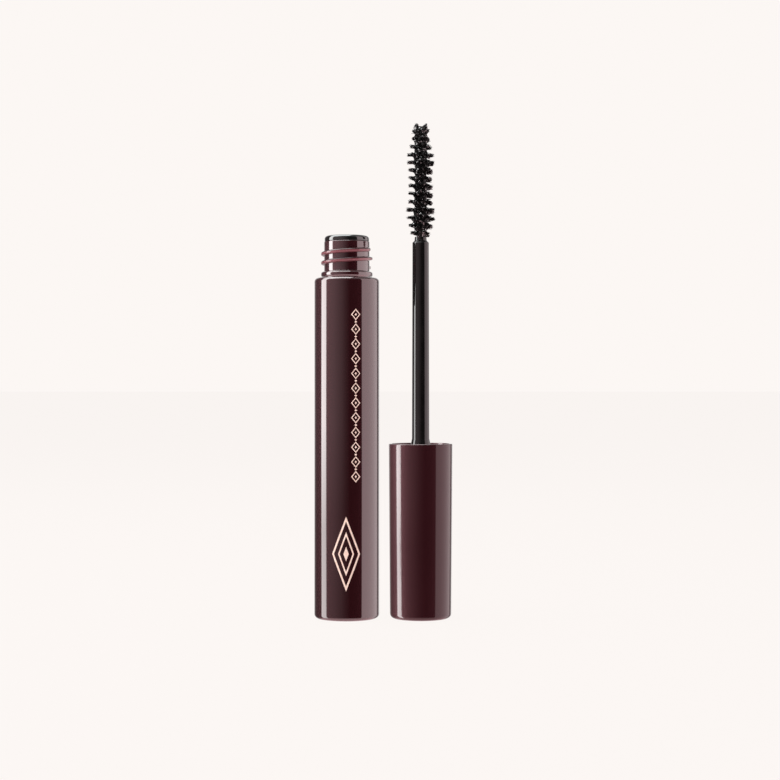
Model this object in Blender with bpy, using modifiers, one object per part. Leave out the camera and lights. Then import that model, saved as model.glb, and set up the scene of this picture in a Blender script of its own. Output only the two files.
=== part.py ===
"""Mascara tube: an open bottle, and its wand standing beside it on the closed end of its cap.

Metres, +Z up. The origin is on the surface that both stand on, in the middle of the pair.
The bottle stands at -X with its neck up. The wand stands at +X with its brush up, so heights on
the wand are measured from the outside of the cap's closed end.
"""

import math

import bmesh
import bpy

# The pair on the table
AXIS_SPACING = 0.0177
BOTTLE_RADIUS = 0.0078
CAP_RIM_RADIUS = 0.00764
WAND_X = (AXIS_SPACING + BOTTLE_RADIUS - CAP_RIM_RADIUS) / 2
BOTTLE_X = WAND_X - AXIS_SPACING
FIT_GAP = 0.00015

# Bottle
SHOULDER_Z = 0.0815
SHOULDER_CORNER = 0.0009
BASE_CORNER = 0.0010
FOOT_INNER_RADIUS = 0.0056
RECESS_DEPTH = 0.0005
CAVITY_RADIUS = 0.00595
CAVITY_FLOOR_Z = 0.0020
CAVITY_CORNER = 0.00075
CAVITY_TOP_Z = 0.0789
NECK_RADIUS = 0.00545
NECK_TOP_Z = 0.0902
NECK_BORE_RADIUS = 0.00415
NECK_BORE_BOTTOM_Z = 0.0807
BEAD_RADIUS = 0.0062
BEAD_BOTTOM_Z = 0.0817
BEAD_TOP_Z = 0.08295
BEAD_EDGE = 0.0004
GROOVE_RADIUS = 0.00575

# Neck thread: right-hand, single start
THREAD_RADIUS = 0.0062
THREAD_PITCH = 0.00216
THREAD_TURNS = 2
THREAD_START_Z = 0.0840
THREAD_CREST_HALF = 0.0002
THREAD_ROOT_HALF = 0.00042
THREAD_SINK = 0.0003
THREAD_FADE = 0.08
THREAD_END_SHARE = 0.2
THREAD_CLEARANCE = 0.00015

# Wiper
FLANGE_TOP_Z = 0.0916
FLANGE_RADIUS = 0.00535
FLANGE_EDGE = 0.0007
FLANGE_MOUTH_EDGE = 0.0006
SLEEVE_RADIUS = NECK_BORE_RADIUS - FIT_GAP
SLEEVE_BORE_RADIUS = 0.0033
SLEEVE_BOTTOM_Z = 0.0793
SNAP_BEAD = 0.0004
LIP_Z = 0.0765
LIP_THICKNESS = 0.00045
ORIFICE_RADIUS = 0.0022

# Paste
PASTE_TOP_Z = 0.0620
PASTE_EDGE = 0.0004
CHANNEL_RADIUS = 0.00375
CHANNEL_FLOOR_Z = 0.0040

# Base label
LABEL_RADIUS = 0.0051
LABEL_THICKNESS = 0.00015

# Overcap
CAP_HEIGHT = 0.0418
CAP_END_RADIUS = 0.00735
CAP_CORNER = 0.0011
CAP_FLOOR_Z = 0.0016
CAP_BORE_RADIUS = 0.0065
CAP_SEAT_RADIUS = 0.00695
CAP_LEDGE_Z = 0.02685
RIM_EDGE = 0.00012

# Inner cap
SKIRT_RADIUS = CAP_SEAT_RADIUS - FIT_GAP
SKIRT_TOP_Z = 0.0413
SKIRT_BOTTOM_Z = CAP_LEDGE_Z + FIT_GAP
UNDERCUT_RADIUS = 0.0061
COUNTERBORE_RADIUS = BEAD_RADIUS + 0.0002
COUNTERBORE_Z = 0.0399
THREAD_BORE_RADIUS = NECK_RADIUS + FIT_GAP
DECK_TOP_Z = 0.0305
DECK_BOTTOM_Z = 0.0290
SOCKET_RADIUS = 0.0034
SOCKET_BOTTOM_Z = 0.0205

# Rod
ROD_BASE_RADIUS = 0.00208
ROD_TIP_RADIUS = 0.00197
ROD_ROOT_RADIUS = 0.0024
ROD_ROOT_TOP_Z = 0.0430
ROD_ROOT_Z = 0.0415
ROD_CHAMFER_Z = 0.0900
ROD_CHAMFER = 0.0005
ROD_NOSE_RADIUS = 0.0014
ROD_BOTTOM_Z = 0.0208
ROD_TOP_Z = 0.0914
SNAP_RING_RADIUS = 0.0025
SNAP_RING_Z = 0.0236
SNAP_RING_HALF = 0.0005
WIRE_HOLE_RADIUS = 0.0008
WIRE_HOLE_DEPTH = 0.0070

# Gasket
GASKET_THICKNESS = 0.0010
GASKET_RADIUS = 0.00535
GASKET_HOLE_RADIUS = ROD_ROOT_RADIUS + FIT_GAP

# Brush
STRAND_RADIUS = 0.00033
WIRE_LAY = 0.00378
WIRE_BOTTOM_Z = ROD_TOP_Z - WIRE_HOLE_DEPTH + 2 * FIT_GAP
WIRE_TOP_Z = 0.1176
ROW_SPACING = WIRE_LAY / 2
LOWEST_ROW_Z = 0.0921
BRUSH_TOP_Z = 0.1186
ROW_HUB_RADIUS = 0.0015
# Row diameters from the tip down: a small head, two full rings and a waist between them
ROW_DIAMETERS = (
    0.0043, 0.0046, 0.0053, 0.0063, 0.0068, 0.0060, 0.0059,
    0.0059, 0.0059, 0.0061, 0.0069, 0.0068, 0.0059, 0.0048,
)

LARGE_STEPS = 48
SMALL_STEPS = 32
CORNER_STEPS = 4
MERGE = 0.00001
SHARP_ANGLE = math.radians(35)


def material(name, colour, roughness, metallic=0.0):
    made = bpy.data.materials.new(name)
    made.use_nodes = True
    shader = made.node_tree.nodes["Principled BSDF"]
    shader.inputs["Base Color"].default_value = (*colour, 1.0)
    shader.inputs["Roughness"].default_value = roughness
    shader.inputs["Metallic"].default_value = metallic
    return made


def add_object(name, mesh, collection, x=0.0, z=0.0):
    obj = bpy.data.objects.new(name, mesh)
    obj.location = (x, 0.0, z)
    collection.objects.link(obj)
    return obj


def arc(centre, radius, start, end, steps=CORNER_STEPS):
    """Points (r, z) of a round corner, from start to end in degrees."""
    angles = [math.radians(start + (end - start) * i / steps) for i in range(steps + 1)]
    return [(centre[0] + radius * math.cos(a), centre[1] + radius * math.sin(a)) for a in angles]


def turned(name, profile, collection, x, steps=LARGE_STEPS):
    """A solid of revolution. A profile that starts on the axis stays open there, another is a ring."""
    mesh = bpy.data.meshes.new(name)
    count = len(profile)
    edges = [(i, i + 1) for i in range(count - 1)]
    if profile[0][0] > 0:
        edges.append((count - 1, 0))
    mesh.from_pydata([(r, 0.0, z) for r, z in profile], edges, [])
    obj = add_object(name, mesh, collection, x)
    screw = obj.modifiers.new("Turn", "SCREW")
    screw.axis = "Z"
    screw.steps = steps
    screw.render_steps = steps
    screw.use_merge_vertices = True
    screw.merge_threshold = MERGE
    screw.use_smooth_shade = True
    return obj


def finish_mesh(bm, mesh):
    bmesh.ops.recalc_face_normals(bm, faces=bm.faces)
    bm.to_mesh(mesh)
    bm.free()
    mesh.shade_smooth()
    mesh.set_sharp_from_angle(angle=SHARP_ANGLE)


def spun(name, points, faces, angle, rise, steps, collection, x, z=0.0):
    """A solid that a flat outline sweeps while it turns about Z and rises."""
    bm = bmesh.new()
    verts = [bm.verts.new(p) for p in points]
    for face in faces:
        bm.faces.new([verts[i] for i in face])
    bmesh.ops.spin(
        bm,
        geom=bm.verts[:] + bm.edges[:] + bm.faces[:],
        cent=(0, 0, 0),
        axis=(0, 0, 1),
        dvec=(0, 0, rise / steps),
        angle=angle,
        steps=steps,
    )
    mesh = bpy.data.meshes.new(name)
    finish_mesh(bm, mesh)
    return add_object(name, mesh, collection, x, z)


def thread_sweep(name, root_radius, crest_radius, root_half, crest_half, start, turns, fades, collection, x):
    """A helical ridge of trapezoid section. start is (angle, z), and fades says which ends run out."""
    start_angle, start_z = start
    section = [
        (root_radius, 0.0, -root_half),
        (crest_radius, 0.0, -crest_half),
        (crest_radius, 0.0, crest_half),
        (root_radius, 0.0, root_half),
    ]
    obj = spun(
        name,
        section,
        [(0, 1, 2, 3)],
        2 * math.pi * turns,
        THREAD_PITCH * turns,
        round(turns * SMALL_STEPS),
        collection,
        x,
    )
    for vert in obj.data.vertices:
        px, py, pz = vert.co
        part_turn = math.atan2(py, px) / (2 * math.pi)
        turn = part_turn + round(pz / THREAD_PITCH - part_turn)
        height = 1.0
        if fades[0]:
            height = min(height, max(turn, 0.0) / THREAD_FADE)
        if fades[1]:
            height = min(height, max(turns - turn, 0.0) / THREAD_FADE)
        radius = math.hypot(px, py)
        faded = root_radius + (radius - root_radius) * max(height, THREAD_END_SHARE)
        angle = 2 * math.pi * part_turn + start_angle
        vert.co = (faded * math.cos(angle), faded * math.sin(angle), pz + start_z)
    return obj


def use_as_tool(owner, tool, operation):
    tool.hide_render = True
    tool.display_type = "WIRE"
    boolean = owner.modifiers.new(tool.name, "BOOLEAN")
    boolean.operation = operation
    boolean.object = tool


def make_bottle(parts, tools):
    cavity_corner = (CAVITY_RADIUS - CAVITY_CORNER, CAVITY_FLOOR_Z + CAVITY_CORNER)
    bead_edge_radius = BEAD_RADIUS - BEAD_EDGE
    shoulder_corner = (BOTTLE_RADIUS - SHOULDER_CORNER, SHOULDER_Z - SHOULDER_CORNER)
    base_corner = (BOTTLE_RADIUS - BASE_CORNER, BASE_CORNER)
    profile = [
        (0.0, CAVITY_FLOOR_Z),
        *arc(cavity_corner, CAVITY_CORNER, -90, 0, 3),
        (CAVITY_RADIUS, CAVITY_TOP_Z),
        (NECK_BORE_RADIUS, NECK_BORE_BOTTOM_Z),
        (NECK_BORE_RADIUS, NECK_TOP_Z),
        (NECK_RADIUS, NECK_TOP_Z),
        (NECK_RADIUS, BEAD_TOP_Z),
        *arc((bead_edge_radius, BEAD_TOP_Z - BEAD_EDGE), BEAD_EDGE, 90, 0, 3),
        *arc((bead_edge_radius, BEAD_BOTTOM_Z + BEAD_EDGE), BEAD_EDGE, 0, -90, 3),
        (GROOVE_RADIUS, BEAD_BOTTOM_Z),
        (GROOVE_RADIUS, SHOULDER_Z),
        *arc(shoulder_corner, SHOULDER_CORNER, 90, 0),
        *arc(base_corner, BASE_CORNER, 0, -90),
        (FOOT_INNER_RADIUS, 0.0),
        (FOOT_INNER_RADIUS - RECESS_DEPTH / 2, RECESS_DEPTH),
        (0.0, RECESS_DEPTH),
    ]
    bottle = turned("bottle", profile, parts, BOTTLE_X)
    ridge = thread_sweep(
        "neck_thread_ridge",
        NECK_RADIUS - THREAD_SINK,
        THREAD_RADIUS,
        THREAD_ROOT_HALF,
        THREAD_CREST_HALF,
        (0.0, THREAD_START_Z),
        THREAD_TURNS,
        (True, True),
        tools,
        BOTTLE_X,
    )
    use_as_tool(bottle, ridge, "UNION")
    return bottle


def make_wiper(parts):
    edge_radius = FLANGE_RADIUS - FLANGE_EDGE
    lip_outer_radius = ORIFICE_RADIUS + LIP_THICKNESS
    profile = [
        (SLEEVE_BORE_RADIUS + FLANGE_MOUTH_EDGE, FLANGE_TOP_Z),
        *arc((edge_radius, FLANGE_TOP_Z - FLANGE_EDGE), FLANGE_EDGE, 90, 0),
        (FLANGE_RADIUS, NECK_TOP_Z + FIT_GAP),
        (SLEEVE_RADIUS, NECK_TOP_Z + FIT_GAP),
        (SLEEVE_RADIUS, SLEEVE_BOTTOM_Z + 3 * SNAP_BEAD),
        (SLEEVE_RADIUS + SNAP_BEAD, SLEEVE_BOTTOM_Z + 2 * SNAP_BEAD),
        (SLEEVE_RADIUS + SNAP_BEAD, SLEEVE_BOTTOM_Z + SNAP_BEAD),
        (SLEEVE_RADIUS, SLEEVE_BOTTOM_Z),
        (lip_outer_radius, LIP_Z),
        (ORIFICE_RADIUS, LIP_Z),
        (ORIFICE_RADIUS, LIP_Z + LIP_THICKNESS),
        (SLEEVE_BORE_RADIUS, SLEEVE_BOTTOM_Z + SNAP_BEAD),
        (SLEEVE_BORE_RADIUS, FLANGE_TOP_Z - FLANGE_MOUTH_EDGE),
    ]
    return turned("wiper", profile, parts, BOTTLE_X, SMALL_STEPS)


def make_paste(parts):
    radius = CAVITY_RADIUS - FIT_GAP
    floor = CAVITY_FLOOR_Z + FIT_GAP
    corner = (radius - CAVITY_CORNER, floor + CAVITY_CORNER)
    profile = [
        (0.0, CHANNEL_FLOOR_Z),
        (CHANNEL_RADIUS - PASTE_EDGE, CHANNEL_FLOOR_Z),
        (CHANNEL_RADIUS, CHANNEL_FLOOR_Z + PASTE_EDGE),
        (CHANNEL_RADIUS, PASTE_TOP_Z - PASTE_EDGE),
        (CHANNEL_RADIUS + PASTE_EDGE, PASTE_TOP_Z),
        (radius - PASTE_EDGE, PASTE_TOP_Z),
        (radius, PASTE_TOP_Z - PASTE_EDGE),
        *arc(corner, CAVITY_CORNER, 0, -90, 3),
        (0.0, floor),
    ]
    return turned("mascara_fill", profile, parts, BOTTLE_X, SMALL_STEPS)


def make_label(parts):
    top = RECESS_DEPTH - FIT_GAP
    profile = [
        (0.0, top),
        (LABEL_RADIUS, top),
        (LABEL_RADIUS, top - LABEL_THICKNESS),
        (0.0, top - LABEL_THICKNESS),
    ]
    return turned("base_label", profile, parts, BOTTLE_X, SMALL_STEPS)


def make_cap_shell(parts):
    profile = [
        (0.0, CAP_FLOOR_Z),
        (CAP_BORE_RADIUS - CAP_CORNER / 2, CAP_FLOOR_Z),
        (CAP_BORE_RADIUS, CAP_FLOOR_Z + CAP_CORNER / 2),
        (CAP_BORE_RADIUS, CAP_LEDGE_Z),
        (CAP_SEAT_RADIUS, CAP_LEDGE_Z),
        (CAP_SEAT_RADIUS, CAP_HEIGHT),
        (CAP_RIM_RADIUS - RIM_EDGE, CAP_HEIGHT),
        (CAP_RIM_RADIUS, CAP_HEIGHT - RIM_EDGE),
        *arc((CAP_END_RADIUS - CAP_CORNER, CAP_CORNER), CAP_CORNER, 0, -90),
        (0.0, 0.0),
    ]
    return turned("cap_shell", profile, parts, WAND_X)


def closed_height(bottle_z):
    """The height on the standing wand that meets this height on the bottle when the cap is screwed down."""
    return CAP_HEIGHT + FIT_GAP + SHOULDER_Z - bottle_z


def make_inner_cap(parts, tools):
    bore = ROD_BASE_RADIUS + FIT_GAP
    groove = SNAP_RING_RADIUS + FIT_GAP
    groove_half = SNAP_RING_HALF + FIT_GAP
    profile = [
        (bore, DECK_TOP_Z),
        (THREAD_BORE_RADIUS, DECK_TOP_Z),
        (THREAD_BORE_RADIUS, COUNTERBORE_Z),
        (COUNTERBORE_RADIUS, COUNTERBORE_Z),
        (COUNTERBORE_RADIUS, SKIRT_TOP_Z),
        (SKIRT_RADIUS, SKIRT_TOP_Z),
        (SKIRT_RADIUS, SKIRT_BOTTOM_Z),
        (UNDERCUT_RADIUS, SKIRT_BOTTOM_Z),
        (UNDERCUT_RADIUS, DECK_BOTTOM_Z),
        (SOCKET_RADIUS, DECK_BOTTOM_Z),
        (SOCKET_RADIUS, SOCKET_BOTTOM_Z),
        (bore, SOCKET_BOTTOM_Z),
        (bore, SNAP_RING_Z - groove_half),
        (groove, SNAP_RING_Z - groove_half + FIT_GAP),
        (groove, SNAP_RING_Z + groove_half - FIT_GAP),
        (bore, SNAP_RING_Z + groove_half),
    ]
    inner_cap = turned("inner_cap", profile, parts, WAND_X, SMALL_STEPS)
    # The groove follows the neck thread of the closed bottle, half a turn round because the wand is
    # turned over to go in, and starts a little deeper than the thread's first turn.
    first_turns_past_end = 0.25
    start_z = closed_height(THREAD_START_Z) - THREAD_PITCH * (THREAD_TURNS + first_turns_past_end)
    start_angle = math.pi - 2 * math.pi * (THREAD_TURNS + first_turns_past_end)
    groove_turns = (SKIRT_TOP_Z - start_z) / THREAD_PITCH
    cutter = thread_sweep(
        "inner_thread_groove",
        THREAD_BORE_RADIUS - THREAD_SINK,
        THREAD_RADIUS + THREAD_CLEARANCE,
        THREAD_ROOT_HALF + THREAD_CLEARANCE,
        THREAD_CREST_HALF + THREAD_CLEARANCE,
        (start_angle, start_z),
        groove_turns,
        (True, False),
        tools,
        WAND_X,
    )
    use_as_tool(inner_cap, cutter, "DIFFERENCE")
    return inner_cap


def make_gasket(parts):
    bottom = DECK_TOP_Z + FIT_GAP
    top = bottom + GASKET_THICKNESS
    profile = [
        (GASKET_HOLE_RADIUS, top),
        (GASKET_RADIUS, top),
        (GASKET_RADIUS, bottom),
        (GASKET_HOLE_RADIUS, bottom),
    ]
    return turned("sealing_gasket", profile, parts, WAND_X, SMALL_STEPS)


def make_rod(parts):
    hole_floor = ROD_TOP_Z - WIRE_HOLE_DEPTH
    profile = [
        (0.0, hole_floor),
        (WIRE_HOLE_RADIUS, hole_floor),
        (WIRE_HOLE_RADIUS, ROD_TOP_Z),
        (ROD_NOSE_RADIUS, ROD_TOP_Z),
        (ROD_TIP_RADIUS - ROD_CHAMFER, ROD_CHAMFER_Z + ROD_CHAMFER),
        (ROD_TIP_RADIUS, ROD_CHAMFER_Z),
        (ROD_BASE_RADIUS, ROD_ROOT_TOP_Z),
        (ROD_ROOT_RADIUS, ROD_ROOT_Z),
        (ROD_ROOT_RADIUS, DECK_TOP_Z + FIT_GAP),
        (ROD_BASE_RADIUS, DECK_TOP_Z + FIT_GAP),
        (ROD_BASE_RADIUS, SNAP_RING_Z + SNAP_RING_HALF),
        (SNAP_RING_RADIUS, SNAP_RING_Z + SNAP_RING_HALF - FIT_GAP),
        (SNAP_RING_RADIUS, SNAP_RING_Z - SNAP_RING_HALF + FIT_GAP),
        (ROD_BASE_RADIUS, SNAP_RING_Z - SNAP_RING_HALF),
        (ROD_BASE_RADIUS, ROD_BOTTOM_Z),
        (0.0, ROD_BOTTOM_Z),
    ]
    return turned("rod", profile, parts, WAND_X, SMALL_STEPS)


def make_wire_core(parts):
    """Two strands with a left-hand twist, as the outline round both of them, swept up and round."""
    half_arc = 4
    angles = [-90 + 180 * (i + 0.5) / half_arc for i in range(half_arc)]
    right = [
        (
            STRAND_RADIUS + STRAND_RADIUS * math.cos(math.radians(a)),
            STRAND_RADIUS * math.sin(math.radians(a)),
            0.0,
        )
        for a in angles
    ]
    outline = right + [(-x, -y, z) for x, y, z in right]
    length = WIRE_TOP_Z - WIRE_BOTTOM_Z
    turns = length / WIRE_LAY
    steps_per_turn = 8
    core = spun(
        "wire_core",
        outline,
        [range(len(outline))],
        -2 * math.pi * turns,
        length,
        round(turns * steps_per_turn),
        parts,
        WAND_X,
        WIRE_BOTTOM_Z,
    )
    # The strands lie across the fibres, which the lowest row holds along X.
    core.rotation_euler.z = math.pi / 2 + 2 * math.pi * (LOWEST_ROW_Z - WIRE_BOTTOM_Z) / WIRE_LAY
    return core


def make_bristle_row(number, diameter, low_z, high_z, parts):
    """A stretch of the fibres' left-hand double spiral: a hub with two blades, swept up and round."""
    tip = diameter / 2
    blade = [(-26, 0.88 * tip), (-9, tip), (9, tip), (26, 0.88 * tip)]
    hub = [(angle, ROW_HUB_RADIUS) for angle in (62, 118)]
    half = blade + hub
    outer = half + [(angle + 180, radius) for angle, radius in half]
    hole_radius = WIRE_HOLE_RADIUS
    inner = [(angle, hole_radius) for angle, _ in outer]
    points = [
        (radius * math.cos(math.radians(angle)), radius * math.sin(math.radians(angle)), 0.0)
        for angle, radius in inner + outer
    ]
    count = len(outer)
    faces = [(i, (i + 1) % count, (i + 1) % count + count, i + count) for i in range(count)]
    height = high_z - low_z
    turn = -2 * math.pi * height / WIRE_LAY
    steps_per_turn = 10
    row = spun(
        f"bristle_row_{number:02d}",
        points,
        faces,
        turn,
        height,
        round(steps_per_turn * height / WIRE_LAY),
        parts,
        WAND_X,
        low_z,
    )
    # Every row points along X at its middle, half a turn above the last.
    row.rotation_euler.z = 2 * math.pi * (LOWEST_ROW_Z - low_z) / WIRE_LAY
    return row


def clear_scene():
    for obj in list(bpy.data.objects):
        bpy.data.objects.remove(obj, do_unlink=True)


def add_collection(name, hidden=False):
    made = bpy.data.collections.new(name)
    made.hide_render = hidden
    bpy.context.scene.collection.children.link(made)
    return made


def main():
    clear_scene()
    parts = add_collection("mascara_tube")
    tools = add_collection("mascara_tube_tools", hidden=True)

    burgundy_gloss = ((0.045, 0.010, 0.014), 0.12)
    cap_burgundy = ((0.050, 0.012, 0.016), 0.20)
    black_gloss = ((0.010, 0.010, 0.010), 0.18)
    pieces = [
        (make_bottle(parts, tools), burgundy_gloss),
        (make_wiper(parts), black_gloss),
        (make_paste(parts), ((0.006, 0.006, 0.006), 0.35)),
        (make_label(parts), ((0.80, 0.76, 0.70), 0.55)),
        (make_cap_shell(parts), cap_burgundy),
        (make_inner_cap(parts, tools), ((0.012, 0.011, 0.011), 0.35)),
        (make_gasket(parts), ((0.75, 0.74, 0.70), 0.50)),
        (make_rod(parts), black_gloss),
    ]
    for piece, (colour, roughness) in pieces:
        piece.data.materials.append(material(piece.name, colour, roughness))

    core = make_wire_core(parts)
    core.data.materials.append(material(core.name, (0.55, 0.55, 0.56), 0.30, 1.0))

    count = len(ROW_DIAMETERS)
    for index, diameter in enumerate(ROW_DIAMETERS):
        centre_z = LOWEST_ROW_Z + (count - 1 - index) * ROW_SPACING
        half_height = (ROW_SPACING - FIT_GAP) / 2
        low_z = max(centre_z - half_height, ROD_TOP_Z + FIT_GAP)
        high_z = BRUSH_TOP_Z if index == 0 else centre_z + half_height
        row = make_bristle_row(index + 1, diameter, low_z, high_z, parts)
        row.data.materials.append(material(row.name, (0.008, 0.008, 0.008), 0.45))


main()
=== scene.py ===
"""Looks for the mascara tube: an open burgundy bottle, and its wand standing on the cap beside it.

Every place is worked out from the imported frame's boxes. Metres, +Z up.
"""

import math
import random

import bmesh
import bpy
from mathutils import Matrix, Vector, noise


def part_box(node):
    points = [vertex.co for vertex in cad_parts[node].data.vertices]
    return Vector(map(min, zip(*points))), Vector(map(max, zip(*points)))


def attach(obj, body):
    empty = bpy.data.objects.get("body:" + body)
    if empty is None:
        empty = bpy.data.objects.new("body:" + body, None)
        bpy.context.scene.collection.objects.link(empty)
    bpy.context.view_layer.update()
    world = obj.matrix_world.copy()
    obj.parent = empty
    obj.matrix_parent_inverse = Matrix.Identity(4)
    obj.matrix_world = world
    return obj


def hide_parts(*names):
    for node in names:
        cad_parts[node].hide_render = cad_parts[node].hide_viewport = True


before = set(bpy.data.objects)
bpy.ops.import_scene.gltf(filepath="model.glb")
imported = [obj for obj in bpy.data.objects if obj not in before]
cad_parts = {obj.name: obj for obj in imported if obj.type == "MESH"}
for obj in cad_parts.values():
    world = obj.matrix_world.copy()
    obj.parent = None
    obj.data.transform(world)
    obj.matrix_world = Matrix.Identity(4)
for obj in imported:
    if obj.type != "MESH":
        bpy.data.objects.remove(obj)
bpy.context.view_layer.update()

# ---------------------------------------------------------------- places, from the frame
BOTTLE_LOW, BOTTLE_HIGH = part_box("bottle")
WIPER_LOW, WIPER_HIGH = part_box("wiper")
PASTE_LOW, PASTE_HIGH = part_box("mascara_fill")
LABEL_LOW, LABEL_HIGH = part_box("base_label")
CAP_LOW, CAP_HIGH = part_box("cap_shell")
INNER_LOW, INNER_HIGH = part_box("inner_cap")
GASKET_LOW, GASKET_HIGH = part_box("sealing_gasket")
ROD_LOW, ROD_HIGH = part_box("rod")
WIRE_LOW, WIRE_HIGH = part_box("wire_core")
ROWS = sorted(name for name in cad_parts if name.startswith("bristle_row_"))
ROW_BOXES = {name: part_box(name) for name in ROWS}

BOTTLE_X = (BOTTLE_LOW.x + BOTTLE_HIGH.x) / 2
BOTTLE_RADIUS = (BOTTLE_HIGH.x - BOTTLE_LOW.x) / 2
WALL_RADIUS = BOTTLE_RADIUS - 0.00002   # leaves room for the foil within the bottle's width
WAND_X = (CAP_LOW.x + CAP_HIGH.x) / 2
CAP_RIM_RADIUS = (CAP_HIGH.x - CAP_LOW.x) / 2
FLANGE_RADIUS = (WIPER_HIGH.x - WIPER_LOW.x) / 2

# The clearance between pieces that fit into one another
FIT_GAP = 0.00015

# Bottle
NECK_TOP_Z = BOTTLE_HIGH.z
SHOULDER_Z = NECK_TOP_Z - 0.0087
NECK_RADIUS = 0.00545
NECK_BORE_RADIUS = 0.00415
BEAD_RADIUS = 0.0062
GROOVE_RADIUS = 0.00575
CAVITY_RADIUS = 0.00595
THREAD_RADIUS = 0.0062
THREAD_PITCH = 0.00216
THREAD_TURNS = 2
THREAD_START_Z = SHOULDER_Z + 0.0025

# Cap and rod
CAP_END_RADIUS = 0.00735
CAP_SEAT_RADIUS = 0.00695
DECK_TOP_Z = GASKET_LOW.z - FIT_GAP
ROD_TIP_RADIUS = 0.00197
ROD_BASE_RADIUS = 0.00208
ROD_ROOT_RADIUS = 0.0024

# Brush. The second row from the tip and the second from the rod give the spacing.
ROW_MIDDLES = [(low.z + high.z) / 2 for low, high in ROW_BOXES.values()]
ROW_SPACING = (ROW_MIDDLES[1] - ROW_MIDDLES[-2]) / (len(ROWS) - 3)
WIRE_LAY = 2 * ROW_SPACING
STRAND_RADIUS = 0.00033
BRUSH_TOP_Z = ROW_BOXES[ROWS[0]][1].z

# Sides of a large turned piece and of a slim or hidden one
ROUND = 160
SLIM_ROUND = 96


# ---------------------------------------------------------------- mesh helpers
def add_piece(name, mesh, look, body, slot, *nodes):
    """Put a mesh with its look into the scene, on a body, in place of the CAD's nodes if any are named."""
    mesh.materials.append(look)
    piece = bpy.data.objects.new(name, mesh)
    bpy.context.scene.collection.objects.link(piece)
    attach(piece, body)
    if nodes:
        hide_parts(*nodes)
    return piece


def mesh_from(name, bm, sharp=40):
    """A smooth mesh whose edges over this many degrees stay sharp."""
    bmesh.ops.recalc_face_normals(bm, faces=bm.faces)
    mesh = bpy.data.meshes.new(name)
    bm.to_mesh(mesh)
    bm.free()
    mesh.shade_smooth()
    mesh.set_sharp_from_angle(angle=math.radians(sharp))
    return mesh


def filleted(corners, steps=5):
    """A profile of (r, z) from corners (r, z, fillet radius), each rounded by its fillet."""
    points = []
    count = len(corners)
    for i, (r, z, fillet) in enumerate(corners):
        if fillet == 0:
            points.append((r, z))
            continue
        here = Vector((r, z))
        before = (Vector(corners[i - 1][:2]) - here).normalized()
        after = (Vector(corners[(i + 1) % count][:2]) - here).normalized()
        half = before.angle(after) / 2
        reach = fillet / math.tan(half)
        centre = here + (before + after).normalized() * (fillet / math.sin(half))
        start = here + before * reach - centre
        end = here + after * reach - centre
        for k in range(steps + 1):
            arm = start.slerp(end, k / steps)
            points.append(tuple(centre + arm.normalized() * fillet))
    return points


def revolve(bm, profile, x, segments=ROUND):
    """A turned solid. The profile is closed, or starts and ends on the axis."""
    nearly_zero = 1e-7
    on_axis = profile[0][0] < nearly_zero
    rings = []
    for r, z in profile:
        if r < nearly_zero:
            rings.append([bm.verts.new((x, 0, z))])
            continue
        angles = [2 * math.pi * k / segments for k in range(segments)]
        rings.append([bm.verts.new((x + r * math.cos(a), r * math.sin(a), z)) for a in angles])
    pairs = list(zip(rings, rings[1:]))
    if not on_axis:
        pairs.append((rings[-1], rings[0]))
    for one, two in pairs:
        for k in range(segments):
            corners = [one[k % len(one)], one[(k + 1) % len(one)], two[(k + 1) % len(two)], two[k % len(two)]]
            bm.faces.new(list(dict.fromkeys(corners)))


def turned_mesh(name, corners, x, segments=ROUND, sharp=40):
    bm = bmesh.new()
    revolve(bm, filleted(corners), x, segments)
    return mesh_from(name, bm, sharp)


def skin(bm, rings, ends=True):
    """Faces between neighbouring rings of equally many points, and over both ends."""
    count = len(rings[0])
    for one, two in zip(rings, rings[1:]):
        for k in range(count):
            n = (k + 1) % count
            bm.faces.new((one[k], one[n], two[n], two[k]))
    if ends:
        bm.faces.new(list(reversed(rings[0])))
        bm.faces.new(rings[-1])


def tube(bm, path, radii, sides, spin=0.0):
    """A closed round tube through the path's points, with a radius at each."""
    rings = []
    normal = None
    for i, point in enumerate(path):
        ahead = path[min(i + 1, len(path) - 1)] - path[max(i - 1, 0)]
        ahead.normalize()
        if normal is None:
            normal = ahead.orthogonal().normalized()
        normal = (normal - ahead * normal.dot(ahead)).normalized()
        side = ahead.cross(normal)
        ring = []
        for k in range(sides):
            a = spin + 2 * math.pi * k / sides
            offset = (normal * math.cos(a) + side * math.sin(a)) * radii[i]
            ring.append(bm.verts.new(point + offset))
        rings.append(ring)
    skin(bm, rings)


def helix_ridge(bm, x, root, crest, z_start, turns, angle_start, half_width, fade):
    """A thread with a rounded crest that rises out of its root and sinks back at both ends.

    It takes fade turns to rise.
    """
    # Up one flank, as shares of the ridge's height and of its half width
    flank = [(0.0, 1.0), (0.45, 0.78), (0.8, 0.64), (0.95, 0.47), (1.0, 0.20)]
    section = [(out, -up) for out, up in flank] + list(reversed(flank))
    least_ease = 0.06
    steps_per_turn = 96
    total = round(turns * steps_per_turn)
    rings = []
    for i in range(total + 1):
        turn = turns * i / total
        ease = min(1.0, turn / fade, (turns - turn) / fade)
        height = math.sin(max(ease, least_ease) * math.pi / 2)
        angle = angle_start + 2 * math.pi * turn
        z = z_start + THREAD_PITCH * turn
        ring = []
        for out, up in section:
            r = root + (crest - root) * out * height
            ring.append(bm.verts.new((x + r * math.cos(angle), r * math.sin(angle), z + half_width * up)))
        rings.append(ring)
    skin(bm, rings)


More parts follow.
